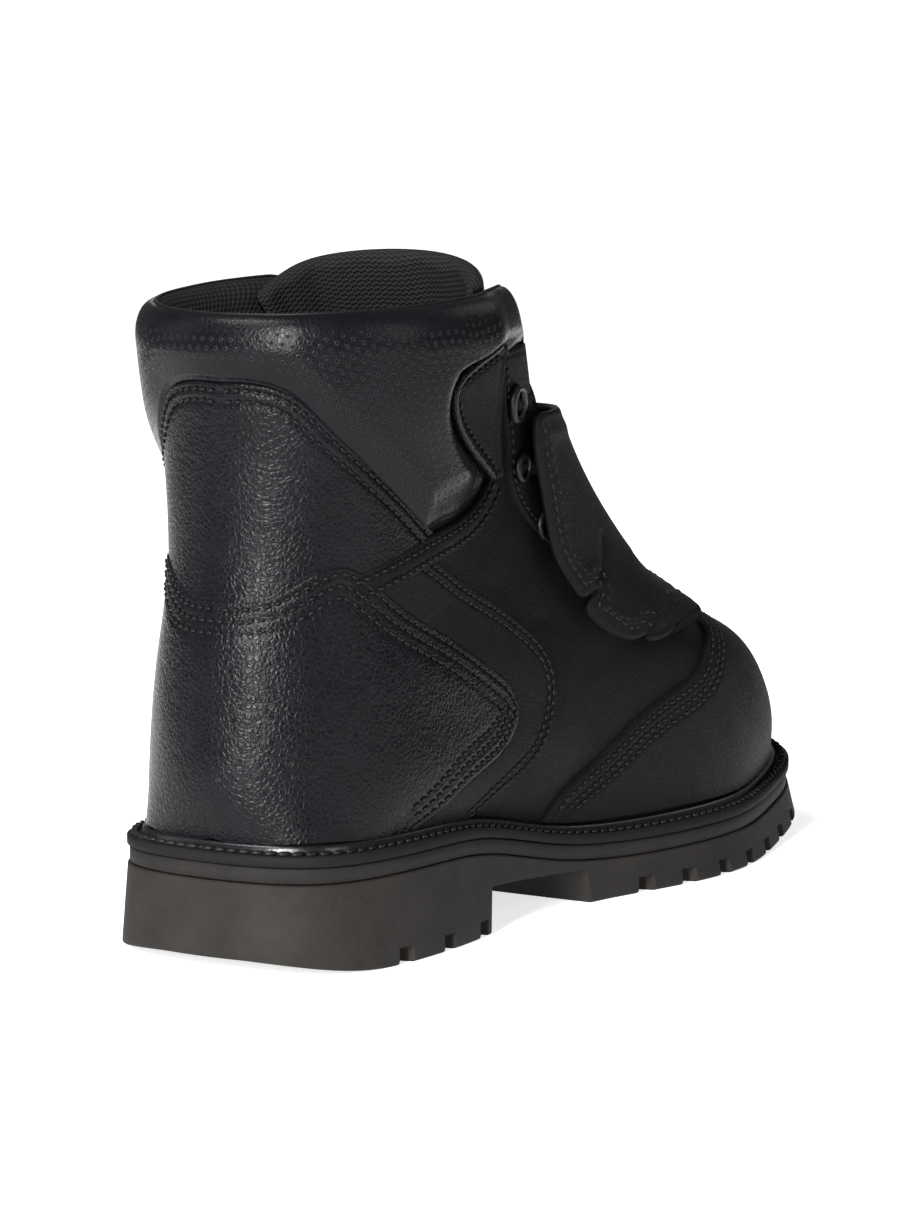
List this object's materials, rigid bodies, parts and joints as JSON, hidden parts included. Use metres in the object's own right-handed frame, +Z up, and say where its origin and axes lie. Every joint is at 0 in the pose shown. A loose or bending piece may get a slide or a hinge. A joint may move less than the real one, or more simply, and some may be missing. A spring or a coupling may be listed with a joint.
{
  "type": "metatarsal guard boot",
  "caption": "Ankle-height black leather work boot with a safety toe, a scalloped metatarsal flap over the instep, a padded collar and a lugged sole with a heel.",
  "frame": {"origin": "centre of the boot's box at the floor, under the heel and forefoot it stands on", "axes": "+Y to the toe, +X to the outer (lateral) side of this right boot, +Z up"},
  "size_m": [0.1164, 0.3162, 0.199],
  "materials": {
    "outsole rubber": "matte moulded rubber",
    "midsole rubber": "matte rubber",
    "welt leather": "polished leather strip",
    "insole fabric": "textile footbed",
    "quarter leather": "pebbled semi-gloss leather",
    "collar leather": "padded perforated leather",
    "matte leather": "matte buffed leather",
    "guard leather": "thick matte leather",
    "knit lining": "knitted padded lining",
    "lace": "woven cord",
    "black metal": "black lacquered metal"
  },
  "bodies": {
    "root": {"collar": "collar leather", "counter": "quarter leather", "eyelet_high_inner": "black metal", "eyelet_high_outer": "black metal", "eyelet_low_inner": "black metal", "eyelet_low_outer": "black metal", "eyestay_inner": "matte leather", "eyestay_outer": "matte leather", "facing_inner": "matte leather", "facing_outer": "matte leather", "hook_inner": "black metal", "hook_outer": "black metal", "insole": "insole fabric", "lace": "lace", "met_guard": "guard leather", "midsole": "midsole rubber", "outsole": "outsole rubber", "saddle_inner": "matte leather", "saddle_outer": "matte leather", "toe_cap": "matte leather", "tongue": "knit lining", "upper": "quarter leather", "welt": "welt leather"}
  },
  "joints": []
}
